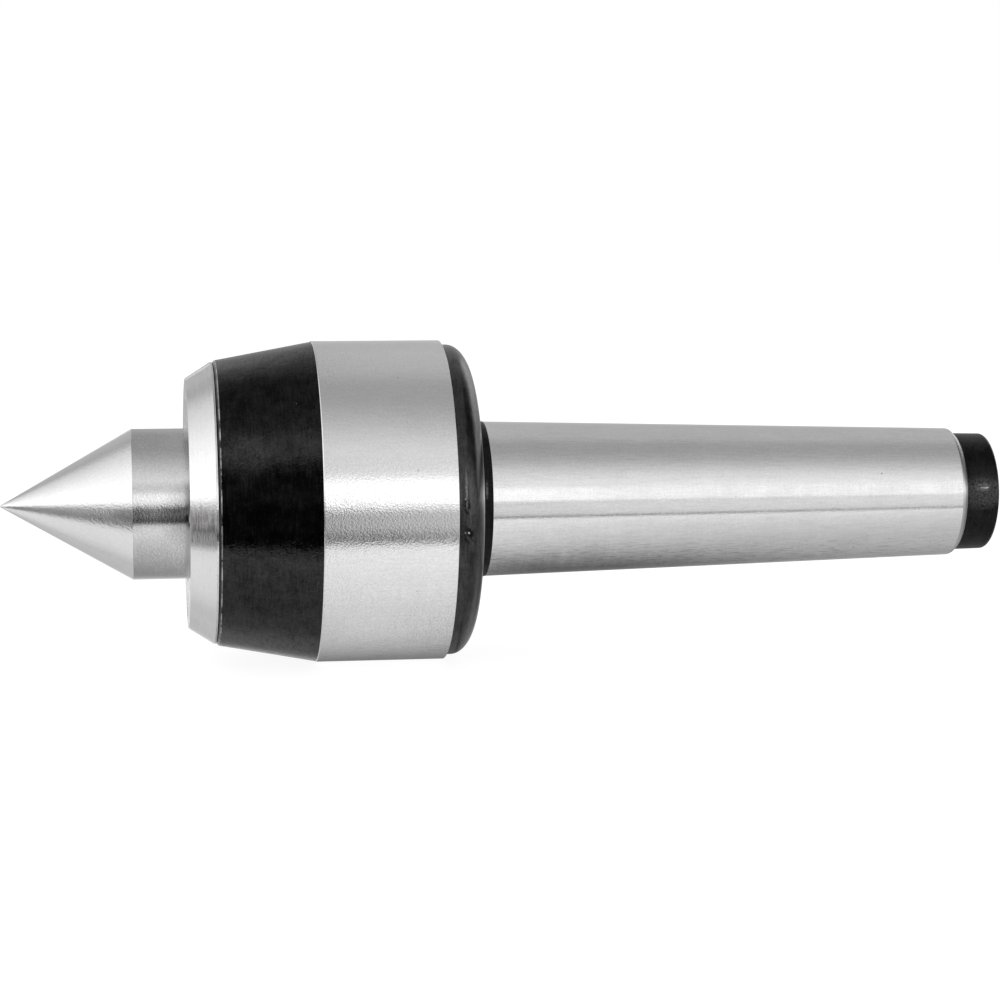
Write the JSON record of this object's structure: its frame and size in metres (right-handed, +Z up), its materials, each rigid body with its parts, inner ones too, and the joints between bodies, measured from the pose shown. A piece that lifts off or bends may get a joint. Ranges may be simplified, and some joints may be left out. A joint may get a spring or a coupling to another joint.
{
  "type": "live center",
  "caption": "Tailstock live center: a 60 degree point turns on internal bearings in a round housing with a Morse taper 4 shank.",
  "frame": {"origin": "on the axis of rotation, midway between the tip of the point and the end of the shank", "axes": "+X along the axis towards the shank end, the point faces -X, +Z up"},
  "size_m": [0.2036, 0.065, 0.065],
  "materials": {
    "ground_and_blackened_steel": "ground on the housing band and the taper; black oxide on the front cone, rear rim, neck and end spigot",
    "turned_steel": "fine turned, bright",
    "hardened_ground_steel": "hardened and ground",
    "bearing_steel": "ground bearing steel",
    "ball_steel": "polished",
    "cage_brass": "machined brass",
    "spring_steel": "phosphated spring steel",
    "seal_rubber": "matte nitrile rubber"
  },
  "bodies": {
    "housing": {"body": "ground_and_blackened_steel", "front_cap": "turned_steel", "front_seal": "seal_rubber", "front_bearing_outer_race": "bearing_steel", "thrust_housing_washer": "bearing_steel", "preload_disc_spring": "spring_steel", "needle_shell": "bearing_steel"},
    "spindle": {"spindle": "hardened_ground_steel", "front_bearing_inner_race": "bearing_steel", "bearing_circlip": "spring_steel", "thrust_shaft_washer": "bearing_steel"},
    "front_cage": {"front_bearing_cage": "cage_brass", "front_ball_01": "ball_steel", "front_ball_02": "ball_steel", "front_ball_03": "ball_steel", "front_ball_04": "ball_steel", "front_ball_05": "ball_steel", "front_ball_06": "ball_steel", "front_ball_07": "ball_steel", "front_ball_08": "ball_steel", "front_ball_09": "ball_steel", "front_ball_10": "ball_steel"},
    "thrust_cage": {"thrust_cage": "cage_brass", "thrust_ball_01": "ball_steel", "thrust_ball_02": "ball_steel", "thrust_ball_03": "ball_steel", "thrust_ball_04": "ball_steel", "thrust_ball_05": "ball_steel", "thrust_ball_06": "ball_steel", "thrust_ball_07": "ball_steel", "thrust_ball_08": "ball_steel", "thrust_ball_09": "ball_steel", "thrust_ball_10": "ball_steel", "thrust_ball_11": "ball_steel", "thrust_ball_12": "ball_steel"},
    "needle_cage": {"needle_cage": "cage_brass", "needle_01": "ball_steel", "needle_02": "ball_steel", "needle_03": "ball_steel", "needle_04": "ball_steel", "needle_05": "ball_steel", "needle_06": "ball_steel", "needle_07": "ball_steel", "needle_08": "ball_steel", "needle_09": "ball_steel", "needle_10": "ball_steel", "needle_11": "ball_steel", "needle_12": "ball_steel", "needle_13": "ball_steel", "needle_14": "ball_steel"}
  },
  "joints": [
    {"name": "spindle_spin", "type": "hinge", "parent": "housing", "child": "spindle", "pos_m": [0, 0, 0], "axis": [1, 0, 0], "continuous": true},
    {"name": "front_cage_orbit", "type": "hinge", "parent": "housing", "child": "front_cage", "pos_m": [-0.0458, 0, 0], "axis": [1, 0, 0], "continuous": true},
    {"name": "thrust_cage_orbit", "type": "hinge", "parent": "housing", "child": "thrust_cage", "pos_m": [-0.0303, 0, 0], "axis": [1, 0, 0], "continuous": true},
    {"name": "needle_cage_orbit", "type": "hinge", "parent": "housing", "child": "needle_cage", "pos_m": [-0.0118, 0, 0], "axis": [1, 0, 0], "continuous": true}
  ],
  "couplings": [
    {"joint": "front_cage_orbit", "follows": "spindle_spin", "ratio": 0.4111},
    {"joint": "thrust_cage_orbit", "follows": "spindle_spin", "ratio": 0.5},
    {"joint": "needle_cage_orbit", "follows": "spindle_spin", "ratio": 0.4424}
  ]
}
